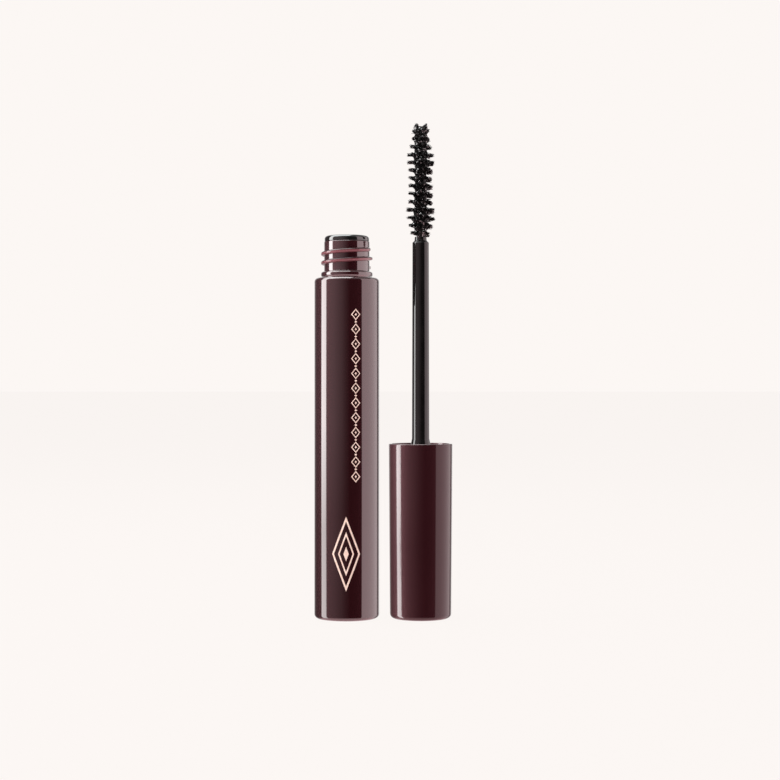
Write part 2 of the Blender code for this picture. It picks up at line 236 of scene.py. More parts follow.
# ---------------------------------------------------------------- materials
class Graph:
    """A shader node tree, with short names for the nodes used here."""

    def __init__(self, owner):
        owner.use_nodes = True
        self.nodes = owner.node_tree.nodes
        self.links = owner.node_tree.links

    def feed(self, socket, value):
        """Link a socket to another one, or set it to a number or an RGB colour."""
        if isinstance(value, bpy.types.NodeSocket):
            self.links.new(value, socket)
        elif isinstance(value, tuple):
            socket.default_value = (*value, 1)
        else:
            socket.default_value = value

    def math(self, operation, *values):
        node = self.nodes.new("ShaderNodeMath")
        node.operation = operation
        for socket, value in zip(node.inputs, values):
            self.feed(socket, value)
        return node.outputs["Value"]

    def map(self, value, low, high, low_out, high_out):
        """value from low..high mapped to low_out..high_out, clamped."""
        node = self.nodes.new("ShaderNodeMapRange")
        self.feed(node.inputs["Value"], value)
        self.feed(node.inputs["From Min"], low)
        self.feed(node.inputs["From Max"], high)
        self.feed(node.inputs["To Min"], low_out)
        self.feed(node.inputs["To Max"], high_out)
        return node.outputs["Result"]

    def mix(self, factor, one, two):
        """Colour one at factor 0 and colour two at factor 1. Inputs 6 and 7 and output 2 are the colour ones."""
        node = self.nodes.new("ShaderNodeMix")
        node.data_type = "RGBA"
        self.feed(node.inputs["Factor"], factor)
        self.feed(node.inputs[6], one)
        self.feed(node.inputs[7], two)
        return node.outputs[2]


class Look(Graph):
    """A Principled material with procedural variation. Distances are metres."""

    def __init__(self, name, **inputs):
        self.material = bpy.data.materials.new(name)
        super().__init__(self.material)
        self.shader = self.nodes["Principled BSDF"]
        self.coords = self.nodes.new("ShaderNodeTexCoord")
        self.last_bump = None
        for name, value in inputs.items():
            self.set(name, value)

    def set(self, name, value):
        """Feed one of the shader's inputs, named with underscores for spaces."""
        self.feed(self.shader.inputs[name.replace("_", " ")], value)

    def noise(self, size, detail=3.0, rough=0.5, stretch=(1, 1, 1)):
        """Noise with features of about this size, longer where stretch is over 1."""
        mapping = self.nodes.new("ShaderNodeMapping")
        mapping.inputs["Scale"].default_value = [1 / (size * s) for s in stretch]
        self.links.new(self.coords.outputs["Object"], mapping.inputs["Vector"])
        texture = self.nodes.new("ShaderNodeTexNoise")
        self.feed(texture.inputs["Scale"], 1.0)
        self.feed(texture.inputs["Detail"], detail)
        self.feed(texture.inputs["Roughness"], rough)
        self.links.new(mapping.outputs["Vector"], texture.inputs["Vector"])
        return texture.outputs["Fac"]

    def bump(self, height, distance):
        """Relief of this depth, on top of any relief given before."""
        node = self.nodes.new("ShaderNodeBump")
        self.feed(node.inputs["Distance"], distance)
        self.links.new(height, node.inputs["Height"])
        if self.last_bump:
            self.links.new(self.last_bump, node.inputs["Normal"])
        self.last_bump = node.outputs["Normal"]
        self.links.new(self.last_bump, self.shader.inputs["Normal"])
        self.links.new(self.last_bump, self.shader.inputs["Coat Normal"])


def burgundy_look(name, deep, light, glow, tint, coat_ior, gloss, top_colour=None):
    """Pearl burgundy plastic under a gloss skin: cloudy pigment, handling marks and a faint orange peel.

    Glow and tint are the strength and colour of the pearl's own soft reflection. Gloss is the lowest and the
    highest roughness of the skin. With a top colour, faces that look upward have that colour and little glow;
    the two cloud colours are then a painted highlight on the faces that don't look upward.
    """
    look = Look(name, Roughness=0.52, Coat_Weight=1.0, Coat_IOR=coat_ior)
    cloud = look.noise(0.012, 4)
    colour = look.mix(cloud, deep, light)
    # Painted highlight: faces that don't look upward get the lighter cloud colours and the full glow, and faces
    # that look upward keep the top colour.
    if top_colour:
        split = look.nodes.new("ShaderNodeSeparateXYZ")
        look.links.new(look.coords.outputs["Normal"], split.inputs["Vector"])
        upward = look.map(split.outputs["Z"], 0.02, 0.25, 0.0, 1.0)
        colour = look.mix(upward, colour, top_colour)
        glow = look.map(upward, 0.0, 1.0, glow, 0.2)
    look.set("Base_Color", colour)
    look.set("Specular_IOR_Level", glow)
    look.set("Specular_Tint", tint)
    marks = look.noise(0.0004, 2, 0.6, (1, 1, 30))
    look.set("Coat_Roughness", look.map(marks, 0.35, 0.75, gloss[0], gloss[1]))
    look.bump(look.noise(0.0035, 2), 0.0000016)
    look.bump(look.noise(0.00012, 3), 0.00000020)
    return look.material


def coated_look(name, dark, light, lump_size, roughness, bump, ior=1.5, stretch=(1, 1, 1), glint_size=None):
    """A black material whose colour, gloss and relief all follow one lumpy film.

    With a glint size it is dull, apart from scattered wet spots.
    """
    look = Look(name, IOR=ior, Specular_Tint=(0.95, 1.0, 1.0))
    film = look.noise(lump_size, 4, 0.6, stretch)
    look.set("Base_Color", look.mix(look.map(film, 0.35, 0.7, 0.0, 1.0), dark, light))
    look.set("Roughness", look.map(film, 0.32, 0.7, roughness[0], roughness[1]))
    if glint_size:
        wet = look.noise(glint_size, 2)
        look.set("Specular_IOR_Level", look.map(wet, 0.54, 0.60, 0.06, 1.0))
        look.set("Coat_Weight", look.map(wet, 0.58, 0.64, 0.0, 1.0))
        look.set("Coat_Roughness", 0.14)
        look.set("Coat_IOR", 2.0)
    look.bump(film, bump)
    return look.material


def pale_look(name, dark, light, grain_size, roughness, bump, stretch=(1, 1, 1), metallic=0.0):
    """A pale fibrous or cellular material."""
    look = Look(name, Metallic=metallic)
    grain = look.noise(grain_size, 5, 0.65, stretch)
    look.set("Base_Color", look.mix(look.map(grain, 0.3, 0.7, 0.0, 1.0), dark, light))
    look.set("Roughness", look.map(grain, 0.3, 0.7, roughness[0], roughness[1]))
    look.bump(grain, bump)
    return look.material


def wire_look():
    """Bright steel with smears of black paste."""
    look = Look("steel_wire", Metallic=1.0)
    film = look.noise(0.0005, 4)
    smear = look.map(film, 0.40, 0.62, 0.0, 1.0)
    look.set("Base_Color", look.mix(smear, (0.42, 0.42, 0.43), (0.03, 0.03, 0.03)))
    look.set("Roughness", look.map(film, 0.3, 0.7, 0.2, 0.45))
    look.bump(look.noise(0.00006, 2, 0.5, (1, 1, 6)), 0.000002)
    return look.material


def make_looks():
    """One look for each kind of surface. Its two colours are the darker and the lighter."""
    return {
        "bottle": burgundy_look(
            "bottle_burgundy", (0.010, 0.0015, 0.0022), (0.014, 0.0024, 0.0033),
            glow=0.25, tint=(1.0, 0.25, 0.33), coat_ior=1.90, gloss=(0.02, 0.06),
        ),
        "neck": burgundy_look(
            "neck_burgundy", (0.014, 0.0022, 0.0032), (0.020, 0.0034, 0.0048),
            glow=0.25, tint=(1.0, 0.25, 0.33), coat_ior=2.1, gloss=(0.02, 0.06),
        ),
        # The thread is the neck's plastic: its pink is a painted highlight on the crest, and the top colour is
        # the plastic's own burgundy on the upward flank.
        "thread": burgundy_look(
            "thread_burgundy_painted_highlight", (0.12, 0.034, 0.040), (0.18, 0.052, 0.062),
            glow=0.9, tint=(1.0, 0.60, 0.64), coat_ior=1.5, gloss=(0.10, 0.22),
            top_colour=(0.016, 0.0026, 0.0036),
        ),
        "cap": burgundy_look(
            "cap_burgundy", (0.0125, 0.0020, 0.0030), (0.0165, 0.0030, 0.0042),
            glow=0.28, tint=(1.0, 0.36, 0.44), coat_ior=1.42, gloss=(0.03, 0.07),
        ),
        "rod": coated_look(
            "rod_black", (0.003, 0.003, 0.003), (0.007, 0.0065, 0.0065),
            lump_size=0.0022, roughness=(0.02, 0.06), bump=0.000002, ior=1.56, stretch=(1, 1, 3),
        ),
        "wiper": coated_look(
            "wiper_elastomer", (0.005, 0.005, 0.005), (0.010, 0.010, 0.0095),
            lump_size=0.0012, roughness=(0.03, 0.12), bump=0.000002, ior=1.9,
        ),
        "paste": coated_look(
            "mascara_paste", (0.0012, 0.0012, 0.0012), (0.006, 0.0056, 0.0052),
            lump_size=0.0010, roughness=(0.06, 0.40), bump=0.00022, glint_size=0.0007,
        ),
        "bristle": coated_look(
            "bristle_nylon", (0.0012, 0.0012, 0.0012), (0.0055, 0.0052, 0.005),
            lump_size=0.00080, roughness=(0.12, 0.60), bump=0.00010, glint_size=0.0006,
        ),
        "insert": coated_look(
            "insert_satin", (0.010, 0.009, 0.009), (0.022, 0.018, 0.018),
            lump_size=0.0004, roughness=(0.28, 0.46), bump=0.000003,
        ),
        "gasket": pale_look(
            "gasket_foam", (0.58, 0.56, 0.51), (0.78, 0.76, 0.71),
            grain_size=0.00018, roughness=(0.5, 0.75), bump=0.00003,
        ),
        "label": pale_look(
            "label_paper", (0.74, 0.69, 0.62), (0.86, 0.82, 0.76),
            grain_size=0.0003, roughness=(0.42, 0.6), bump=0.000006, stretch=(1, 4, 1),
        ),
        "foil": pale_look(
            "foil_rose_gold", (0.80, 0.58, 0.46), (0.98, 0.84, 0.74),
            grain_size=0.0004, roughness=(0.28, 0.5), bump=0.000002, metallic=0.25,
        ),
        "wire": wire_look(),
    }


# ---------------------------------------------------------------- bottle side
def hide_from_reflections(piece, shades=False):
    """Keep a piece out of the others' mirror images and, unless it shades, from shading them."""
    piece.visible_glossy = False
    piece.visible_shadow = shades


def make_bottle(looks):
    """Body and neck, which meet in the groove under the bead and differ a little in gloss, and the thread."""
    seam_z = SHOULDER_Z + 0.0001
    floor_z = 0.0020
    cavity_top = NECK_TOP_Z - 0.0113
    throat_z = NECK_TOP_Z - 0.0095
    recess_z = 0.0005
    recess_radius = 0.00535
    foot_radius = 0.0056
    corners = [
        (0, floor_z, 0),
        (CAVITY_RADIUS, floor_z, 0.0009),
        (CAVITY_RADIUS, cavity_top, 0.0006),
        (NECK_BORE_RADIUS, throat_z, 0.0004),
        (NECK_BORE_RADIUS, seam_z, 0),
        (GROOVE_RADIUS, seam_z, 0),
        (GROOVE_RADIUS, SHOULDER_Z, 0.00004),
        (WALL_RADIUS, SHOULDER_Z, 0.0009),
        (WALL_RADIUS, 0, 0.0010),
        (foot_radius, 0, 0.0002),
        (recess_radius, recess_z, 0.0001),
        (0, recess_z, 0),
    ]
    mesh = turned_mesh("bottle_body", corners, BOTTLE_X, sharp=50)
    body = add_piece("bottle_body", mesh, looks["bottle"], "bottle", "burgundy_bottle", "bottle")
    hide_from_reflections(body)

    bead_low = SHOULDER_Z + 0.0002
    bead_high = SHOULDER_Z + 0.00145
    corners = [
        (NECK_BORE_RADIUS, seam_z, 0),
        (NECK_BORE_RADIUS, NECK_TOP_Z, 0.0001),
        (NECK_RADIUS, NECK_TOP_Z, 0.00015),
        (NECK_RADIUS, bead_high, 0.0002),
        (BEAD_RADIUS, bead_high, 0.00045),
        (BEAD_RADIUS, bead_low, 0.00045),
        (GROOVE_RADIUS, bead_low, 0.00004),
        (GROOVE_RADIUS, seam_z, 0),
    ]
    mesh = turned_mesh("bottle_neck", corners, BOTTLE_X, sharp=50)
    add_piece("bottle_neck", mesh, looks["neck"], "bottle", "burgundy_bottle", "bottle")

    # The thread's look paints a pink highlight on its crest, over the neck's own burgundy.
    bm = bmesh.new()
    root = NECK_RADIUS - 0.0001
    helix_ridge(
        bm, BOTTLE_X, root, THREAD_RADIUS, THREAD_START_Z, THREAD_TURNS,
        angle_start=0.0, half_width=0.00057, fade=0.09,
    )
    mesh = mesh_from("neck_thread", bm, 50)
    add_piece("neck_thread", mesh, looks["thread"], "bottle", "burgundy_bottle", "bottle")


def make_wiper(looks):
    """A flange on the neck, a sleeve in it with a snap bead, and a cone down to the wiping lip."""
    top = WIPER_HIGH.z
    flange_low = NECK_TOP_Z + 0.00006
    mouth = 0.0039
    sleeve = NECK_BORE_RADIUS - FIT_GAP
    sleeve_bore = 0.0033
    sleeve_low = top - 0.0123
    snap = sleeve + 0.0004
    orifice = 0.0022
    lip = orifice + 0.00045
    corners = [
        (mouth, top, 0.0001),
        (FLANGE_RADIUS, top, 0.00075),
        (FLANGE_RADIUS, flange_low, 0.0001),
        (sleeve, flange_low, 0.0001),
        (sleeve, sleeve_low + 0.0012, 0.0001),
        (snap, sleeve_low + 0.0008, 0.0001),
        (snap, sleeve_low + 0.0004, 0.0001),
        (sleeve, sleeve_low, 0.0001),
        (lip, WIPER_LOW.z, 0.0001),
        (orifice, WIPER_LOW.z, 0.0001),
        (orifice, WIPER_LOW.z + 0.00045, 0.0001),
        (sleeve_bore, sleeve_low + 0.0004, 0.0002),
        (sleeve_bore, top - 0.0006, 0.0002),
    ]
    mesh = turned_mesh("wiper_insert", corners, BOTTLE_X, SLIM_ROUND, 50)
    add_piece("wiper_insert", mesh, looks["wiper"], "bottle", "black_elastomer", "wiper")


def make_paste(looks):
    """Paste with the channel that the brush leaves: its wall is scalloped, and its top is uneven."""
    radius = (PASTE_HIGH.x - PASTE_LOW.x) / 2
    top = PASTE_HIGH.z
    level = top - 0.0002
    channel_radius = 0.00375
    channel_low = 0.0040
    corners = [
        (0, channel_low, 0),
        (channel_radius, channel_low, 0.0006),
        (channel_radius, level, 0.0007),
        (radius, level, 0.0003),
        (radius, PASTE_LOW.z, 0.0008),
        (0, PASTE_LOW.z, 0),
    ]
    profile = filleted(corners)
    longest_step = 0.0005
    rich = []
    for (r0, z0), (r1, z1) in zip(profile, profile[1:]):
        pieces = max(1, round(math.hypot(r1 - r0, z1 - z0) / longest_step))
        rich += [(r0 + (r1 - r0) * k / pieces, z0 + (z1 - z0) * k / pieces) for k in range(pieces)]
    rich.append(profile[-1])
    bm = bmesh.new()
    revolve(bm, rich, BOTTLE_X, 64)
    for vert in bm.verts:
        offset = Vector((vert.co.x - BOTTLE_X, vert.co.y, 0))
        # Points near the axis and on the bottle's wall stay in place.
        if 0.0005 < offset.length < radius - 0.0004:
            angle = math.atan2(offset.y, offset.x)
            swirl = math.sin(2 * angle + vert.co.z * 2 * math.pi / WIRE_LAY)
            lump = noise.noise(vert.co * 600)
            vert.co += offset.normalized() * (0.00008 * swirl + 0.00012 * lump)
            if vert.co.z > top - 0.001:
                vert.co.z += 0.00015 * lump
    mesh = mesh_from("mascara_paste", bm, 70)
    paste = add_piece("mascara_paste", mesh, looks["paste"], "bottle", "black_paste", "mascara_fill")
    hide_from_reflections(paste)


def make_label(looks):
    radius = (LABEL_HIGH.x - LABEL_LOW.x) / 2
    edge = 0.00003
    corners = [
        (0, LABEL_HIGH.z, 0),
        (radius, LABEL_HIGH.z, edge),
        (radius, LABEL_LOW.z, edge),
        (0, LABEL_LOW.z, 0),
    ]
    mesh = turned_mesh("base_sticker", corners, BOTTLE_X, SLIM_ROUND)
    sticker = add_piece("base_sticker", mesh, looks["label"], "bottle", "label_paper", "base_label")
    hide_from_reflections(sticker)


# ---------------------------------------------------------------- foil ornament
FOIL_THICKNESS = 0.000025
FOIL_SINK = 0.00001
EMBLEM_Z = 0.0160
CHAIN_ACROSS = 0.00232
CHAIN_LOW_Z = 0.0342
CHAIN_PITCH = 0.00348
CHAIN_LINKS = 12


def foil_patch(bm, outline_pairs):
    """A thin strip on the bottle's wall, between pairs of points (across, z).

    Across is the arc length from the bottle's front. The strip closes on itself if it ends on its first pair.
    """
    inner_radius = WALL_RADIUS - FOIL_SINK
    outer_radius = inner_radius + FOIL_THICKNESS

    def on_wall(across, z, radius):
        angle = across / BOTTLE_RADIUS - math.pi / 2
        return Vector((BOTTLE_X + radius * math.cos(angle), radius * math.sin(angle), z))

    rings = []
    steps = 6
    for (a0, z0), (a1, z1) in outline_pairs:
        top = [(a0 + (a1 - a0) * k / steps, z0 + (z1 - z0) * k / steps) for k in range(steps + 1)]
        ring = [bm.verts.new(on_wall(a, z, outer_radius)) for a, z in top]
        ring += [bm.verts.new(on_wall(a, z, inner_radius)) for a, z in reversed(top)]
        rings.append(ring)
    closed = outline_pairs[0] == outline_pairs[-1]
    if closed:
        for vert in rings[-1]:
            bm.verts.remove(vert)
        rings[-1] = rings[0]
    skin(bm, rings, ends=not closed)


def lozenge_frame(bm, across, z, half_width, half_height, stroke):
    """An open lozenge with a stroke of this width."""
    shrink = stroke / math.sin(math.atan2(half_width, half_height))
    inner_height = half_height - shrink
    inner_width = half_width * inner_height / half_height
    turns = [(0, 1), (1, 0), (0, -1), (-1, 0), (0, 1)]
    steps = 10
    pairs = []
    for (x0, z0), (x1, z1) in zip(turns, turns[1:]):
        for k in range(steps):
            u = x0 + (x1 - x0) * k / steps
            v = z0 + (z1 - z0) * k / steps
            outer = (across + half_width * u, z + half_height * v)
            inner = (across + inner_width * u, z + inner_height * v)
            pairs.append((outer, inner))
    pairs.append(pairs[0])
    foil_patch(bm, pairs)


def lozenge(bm, across, z, half_width, half_height):
    """A filled lozenge, with its points cut off very slightly."""
    steps = 6
    point_share = 0.04
    pairs = []
    for k in range(-steps, steps + 1):
        share = max(1 - abs(k) / steps, point_share)
        height = z + half_height * k / steps
        pairs.append(((across + half_width * share, height), (across - half_width * share, height)))
    foil_patch(bm, pairs)


def make_foil(looks):
    """Three nested lozenges low on the front, and a chain of small ones above them, to the right."""
    bm = bmesh.new()
    lozenge_frame(bm, 0.0, EMBLEM_Z, 0.0034, 0.0088, 0.00042)
    lozenge_frame(bm, 0.0, EMBLEM_Z, 0.0019, 0.0052, 0.00034)
    lozenge(bm, 0.0, EMBLEM_Z, 0.00062, 0.0017)
    add_piece("foil_emblem", mesh_from("foil_emblem", bm, 30), looks["foil"], "bottle", "rose_gold_foil")

    bm = bmesh.new()
    for index in range(CHAIN_LINKS):
        z = CHAIN_LOW_Z + index * CHAIN_PITCH
        lozenge_frame(bm, CHAIN_ACROSS, z, 0.00112, 0.00136, 0.00021)
        lozenge(bm, CHAIN_ACROSS, z, 0.00026, 0.00034)
        if index < CHAIN_LINKS - 1:
            lozenge(bm, CHAIN_ACROSS, z + CHAIN_PITCH / 2, 0.00034, 0.00028)
    add_piece("foil_chain", mesh_from("foil_chain", bm, 30), looks["foil"], "bottle", "rose_gold_foil")


# ---------------------------------------------------------------- wand side
def make_cap(looks):
    """The overcap, whose wall tapers to its closed end, with the ledge that the threaded insert sits on."""
    top = CAP_HIGH.z
    floor_z = 0.0016
    bore = 0.0065
    ledge = INNER_LOW.z + 0.0063
    corners = [
        (0, floor_z, 0),
        (bore, floor_z, 0.0006),
        (bore, ledge, 0.0001),
        (CAP_SEAT_RADIUS, ledge, 0.0001),
        (CAP_SEAT_RADIUS, top, 0.00018),
        (CAP_RIM_RADIUS, top, 0.00024),
        (CAP_END_RADIUS, 0, 0.0011),
        (0, 0, 0),
    ]
    mesh = turned_mesh("overcap", corners, WAND_X, sharp=50)
    cap = add_piece("overcap", mesh, looks["cap"], "wand", "burgundy_cap", "cap_shell")
    hide_from_reflections(cap)
    make_cap_strip(cap)


def make_inner_cap(looks):
    """The insert with its deck, the socket under it that grips the rod, and the female thread."""
    top = INNER_HIGH.z
    skirt = (INNER_HIGH.x - INNER_LOW.x) / 2
    skirt_low = INNER_LOW.z + 0.0065
    inset = 0.0061
    deck_low = DECK_TOP_Z - 0.0015
    socket = 0.0034
    bore = NECK_RADIUS + FIT_GAP
    counterbore = BEAD_RADIUS + 0.0002
    rod_bore = ROD_BASE_RADIUS + FIT_GAP
    thread_top = top - 0.0014
    thread_root = THREAD_RADIUS + FIT_GAP
    corners = [
        (rod_bore, DECK_TOP_Z, 0.0001),
        (thread_root, DECK_TOP_Z, 0.0002),
        (thread_root, thread_top, 0.00005),
        (counterbore, thread_top, 0.0),
        (counterbore, top, 0.00015),
        (skirt, top, 0.0001),
        (skirt, skirt_low, 0.0001),
        (inset, skirt_low, 0.0001),
        (inset, deck_low, 0.0003),
        (socket, deck_low, 0.0003),
        (socket, INNER_LOW.z, 0.0002),
        (rod_bore, INNER_LOW.z, 0.0001),
    ]
    mesh = turned_mesh("threaded_insert", corners, WAND_X, SLIM_ROUND, 50)
    insert = add_piece("threaded_insert", mesh, looks["insert"], "wand", "black_insert", "inner_cap")
    hide_from_reflections(insert)

    bm = bmesh.new()
    turns = 3.3
    start = top - 0.0019 - THREAD_PITCH * turns
    helix_ridge(
        bm, WAND_X, thread_root + 0.0001, bore, start, turns,
        angle_start=0.9 * math.pi, half_width=0.0006, fade=0.15,
    )
    mesh = mesh_from("insert_thread", bm, 50)
    thread = add_piece("insert_thread", mesh, looks["insert"], "wand", "black_insert", "inner_cap")
    hide_from_reflections(thread)


def make_gasket(looks):
    radius = (GASKET_HIGH.x - GASKET_LOW.x) / 2
    hole = ROD_ROOT_RADIUS + FIT_GAP
    corners = [
        (hole, GASKET_HIGH.z, 0.00012),
        (radius, GASKET_HIGH.z, 0.0002),
        (radius, GASKET_LOW.z, 0.0002),
        (hole, GASKET_LOW.z, 0.00012),
    ]
    mesh = turned_mesh("foam_gasket", corners, WAND_X, SLIM_ROUND, 60)
    gasket = add_piece("foam_gasket", mesh, looks["gasket"], "seal", "gasket_foam", "sealing_gasket")
    hide_from_reflections(gasket)


def make_rod(looks):
    """The stem: a wire hole in its chamfered end, a thicker root over the deck, and a snap ring below it."""
    top = ROD_HIGH.z
    hole = 0.0008
    hole_low = top - 0.0070
    nose = 0.0014
    root = ROD_ROOT_RADIUS
    root_top = CAP_HIGH.z + 0.0012
    root_low = DECK_TOP_Z + FIT_GAP
    ring = 0.0025
    ring_z = ROD_LOW.z + 0.0028
    corners = [
        (0, hole_low, 0),
        (hole, hole_low, 0),
        (hole, top, 0.0001),
        (nose, top, 0.00012),
        (ROD_TIP_RADIUS - 0.0005, top - 0.0009, 0.0003),
        (ROD_TIP_RADIUS, top - 0.0014, 0.0003),
        (ROD_BASE_RADIUS, root_top, 0.0012),
        (root, CAP_HIGH.z - 0.0003, 0.0003),
        (root, root_low, 0.0001),
        (ROD_BASE_RADIUS, root_low, 0.0001),
        (ROD_BASE_RADIUS, ring_z + 0.0005, 0.0001),
        (ring, ring_z + 0.00035, 0.0001),
        (ring, ring_z - 0.00035, 0.0001),
        (ROD_BASE_RADIUS, ring_z - 0.0005, 0.0001),
        (ROD_BASE_RADIUS, ROD_LOW.z, 0.0003),
        (0, ROD_LOW.z, 0),
    ]
    mesh = turned_mesh("stem", corners, WAND_X, SLIM_ROUND, 50)
    stem = add_piece("stem", mesh, looks["rod"], "wand", "black_rod", "rod")
    hide_from_reflections(stem, shades=True)


def lay_angle(z):
    """Where one blade of the left-hand double spiral points at this height: along X in a row's middle."""
    return -2 * math.pi * (z - ROW_MIDDLES[1]) / WIRE_LAY


def make_wire(looks):
    """Two strands that lie against each other, a quarter turn from the blades of fibres."""
    length = WIRE_HIGH.z - WIRE_LOW.z
    steps = 220
    for index in range(2):
        bm = bmesh.new()
        path = []
        for i in range(steps + 1):
            z = WIRE_LOW.z + length * i / steps
            angle = lay_angle(z) + math.pi / 2 + math.pi * index
            x = WAND_X + STRAND_RADIUS * math.cos(angle)
            y = STRAND_RADIUS * math.sin(angle)
            path.append(Vector((x, y, z)))
        tube(bm, path, [STRAND_RADIUS * 0.99] * len(path), 14)
        name = f"wire_strand_{index + 1}"
        mesh = mesh_from(name, bm, 50)
        strand = add_piece(name, mesh, looks["wire"], "wand", "steel_wire", "wire_core")
        hide_from_reflections(strand, shades=True)


# Thickness along a clump and along a loose fibre, as (share of the length, share of the full thickness).
# A clump is blunt, because paste beads on its end.
CLUMP_SHAPE = [
    (0.0, 1.05), (0.16, 1.0), (0.32, 0.95), (0.48, 0.92), (0.62, 0.90),
    (0.75, 0.90), (0.86, 0.84), (0.94, 0.64), (1.0, 0.26),
]
FIBRE_SHAPE = [(0.35, 1.0), (0.6, 1.0), (0.8, 0.9), (0.92, 0.7), (1.0, 0.35)]
# The tip's upright clumps, as (angle, reach, depth below the top): two peaks with a dip between them
TIP_CLUMPS = [
    (3.30, 0.00115, 0.0002), (3.60, 0.00165, 0.0011), (2.70, 0.0017, 0.0010), (3.95, 0.0016, 0.0016),
    (3.14, 0.00200, 0.0018), (3.05, 0.00150, 0.0006), (0.05, 0.00150, 0.0001), (0.60, 0.0017, 0.0010),
    (-0.55, 0.0018, 0.0011), (0.0, 0.00205, 0.0017), (1.6, 0.0011, 0.0011), (-1.6, 0.0012, 0.0012),
]
TIP_CLUMP_THICKNESS = 0.00050
FIBRE_RADIUS = 0.000055
STRAND_START = 0.0007   # from the brush's axis
CLUMPS_PER_BLADE = 6
FIBRES_PER_CLUMP = 7
# Share of its root's offset from the row's middle that a clump's tip keeps
TIP_SPREAD = 0.42
# How far the tips at +X hang below the middle, and those at -X stand above it
TIP_SLANT = 0.00018


def add_strand(bm, shape, root_z, tip_z, angle, sway, length, thickness, sides):
    """A tapered strand from the brush's middle outwards, which levels off towards the height of its tip."""
    path = []
    radii = []
    for t, size in shape:
        reach = STRAND_START + (length - STRAND_START) * t
        turned = angle + sway * t * t
        z = root_z + (tip_z - root_z) * (1 - (1 - t) ** 2)
        point = Vector((WAND_X + reach * math.cos(turned), reach * math.sin(turned), z))
        path.append(point)
        radii.append(thickness * size * (1 + 0.7 * noise.noise(point * 1900)))
    tube(bm, path, radii, sides, angle)


def add_clump(bm, rng, root_z, tip_z, angle, length, thickness):
    """One thick strand of fibres and paste, with a few single fibres on its surface."""
    sway = rng.uniform(-0.10, 0.10)
    add_strand(bm, CLUMP_SHAPE, root_z, tip_z, angle, sway, length, thickness, 10)
    for _ in range(FIBRES_PER_CLUMP):
        around = rng.uniform(0, 2 * math.pi)
        side = 0.8 * thickness * math.cos(around)
        up = 0.9 * thickness * math.sin(around)
        add_strand(
            bm,
            FIBRE_SHAPE,
            root_z + up,
            tip_z + up * rng.uniform(0.5, 1.5),
            angle + side / length,
            sway + side / length * rng.uniform(-0.5, 1.0),
            length + rng.uniform(-0.0001, 0.00028),
            FIBRE_RADIUS,
            5,
        )


def make_row(name, looks, rng):
    """Two blades of clumps. Their roots follow the spiral, and paste draws their tips towards one level.

    The row at the tip has upright clumps as well.
    """
    low, high = ROW_BOXES[name]
    middle = ROW_MIDDLES[1] + (1 - ROWS.index(name)) * ROW_SPACING
    radius = (high.x - low.x) / 2
    bm = bmesh.new()
    for blade in range(2):
        for index in range(CLUMPS_PER_BLADE):
            share = (index + 0.5) / CLUMPS_PER_BLADE - 0.5
            root_z = middle + share * ROW_SPACING + rng.uniform(-0.00006, 0.00006)
            angle = lay_angle(root_z) + math.pi * blade + rng.uniform(-0.07, 0.07)
            across = math.cos(angle)
            thickness = rng.uniform(0.00034, 0.00043) + 0.00004 * across
            level = middle + TIP_SPREAD * share * ROW_SPACING
            tip_z = level + rng.uniform(-0.00014, 0.00014) - TIP_SLANT * across
            length = radius * rng.uniform(0.96, 1.04) - 0.00005
            if name == ROWS[0]:
                tip_z = middle + rng.uniform(-0.0002, 0.0002)
                length *= 0.9
            add_clump(bm, rng, root_z, tip_z, angle, length, thickness)
    if name == ROWS[0]:
        for angle, reach, below_top in TIP_CLUMPS:
            add_clump(bm, rng, middle, BRUSH_TOP_Z - below_top, angle, reach, TIP_CLUMP_THICKNESS)
    for vert in bm.verts:
        vert.co.z = min(vert.co.z, BRUSH_TOP_Z - 0.00001)
    piece_name = name.replace("bristle_row", "bristles")
    add_piece(piece_name, mesh_from(piece_name, bm, 60), looks["bristle"], "wand", "black_nylon", name)


def make_coat(looks):
    """Paste held round the wire between the fibres: a lumpy double spiral, thickest just above the rod."""
    low = ROD_HIGH.z + 0.0001
    high = BRUSH_TOP_Z - 0.0007
    usual_load = 0.00158
    extra_load = 0.00050
    extra_z = 0.0036
    extra_spread = 0.0018
    around = 72
    levels = 320
    bm = bmesh.new()
    rings = []
    for i in range(levels + 1):
        z = low + (high - low) * i / levels
        taper = min(1.0, (z - low) / 0.0012 + 0.35, (high - z) / 0.0015 + 0.35)
        load = usual_load + extra_load * math.exp(-(((z - low - extra_z) / extra_spread) ** 2))
        ring = []
        for k in range(around):
            angle = 2 * math.pi * k / around
            ridge = math.cos(2 * (angle - lay_angle(z)))
            at = Vector((math.cos(angle) * 0.0014, math.sin(angle) * 0.0014, z))
            lump = noise.noise(at * 1300) + 0.5 * noise.noise(at * 3600)
            reach = (load + 0.00024 * ridge + 0.00036 * lump) * taper
            ring.append(bm.verts.new((WAND_X + reach * math.cos(angle), reach * math.sin(angle), z)))
        rings.append(ring)
    skin(bm, rings)
    add_piece("brush_paste", mesh_from("brush_paste", bm, 70), looks["paste"], "wand", "black_paste")


# ---------------------------------------------------------------- stage, light and camera
BACKDROP = (0.973, 0.930, 0.904)
BACKDROP_GLOW = 0.957
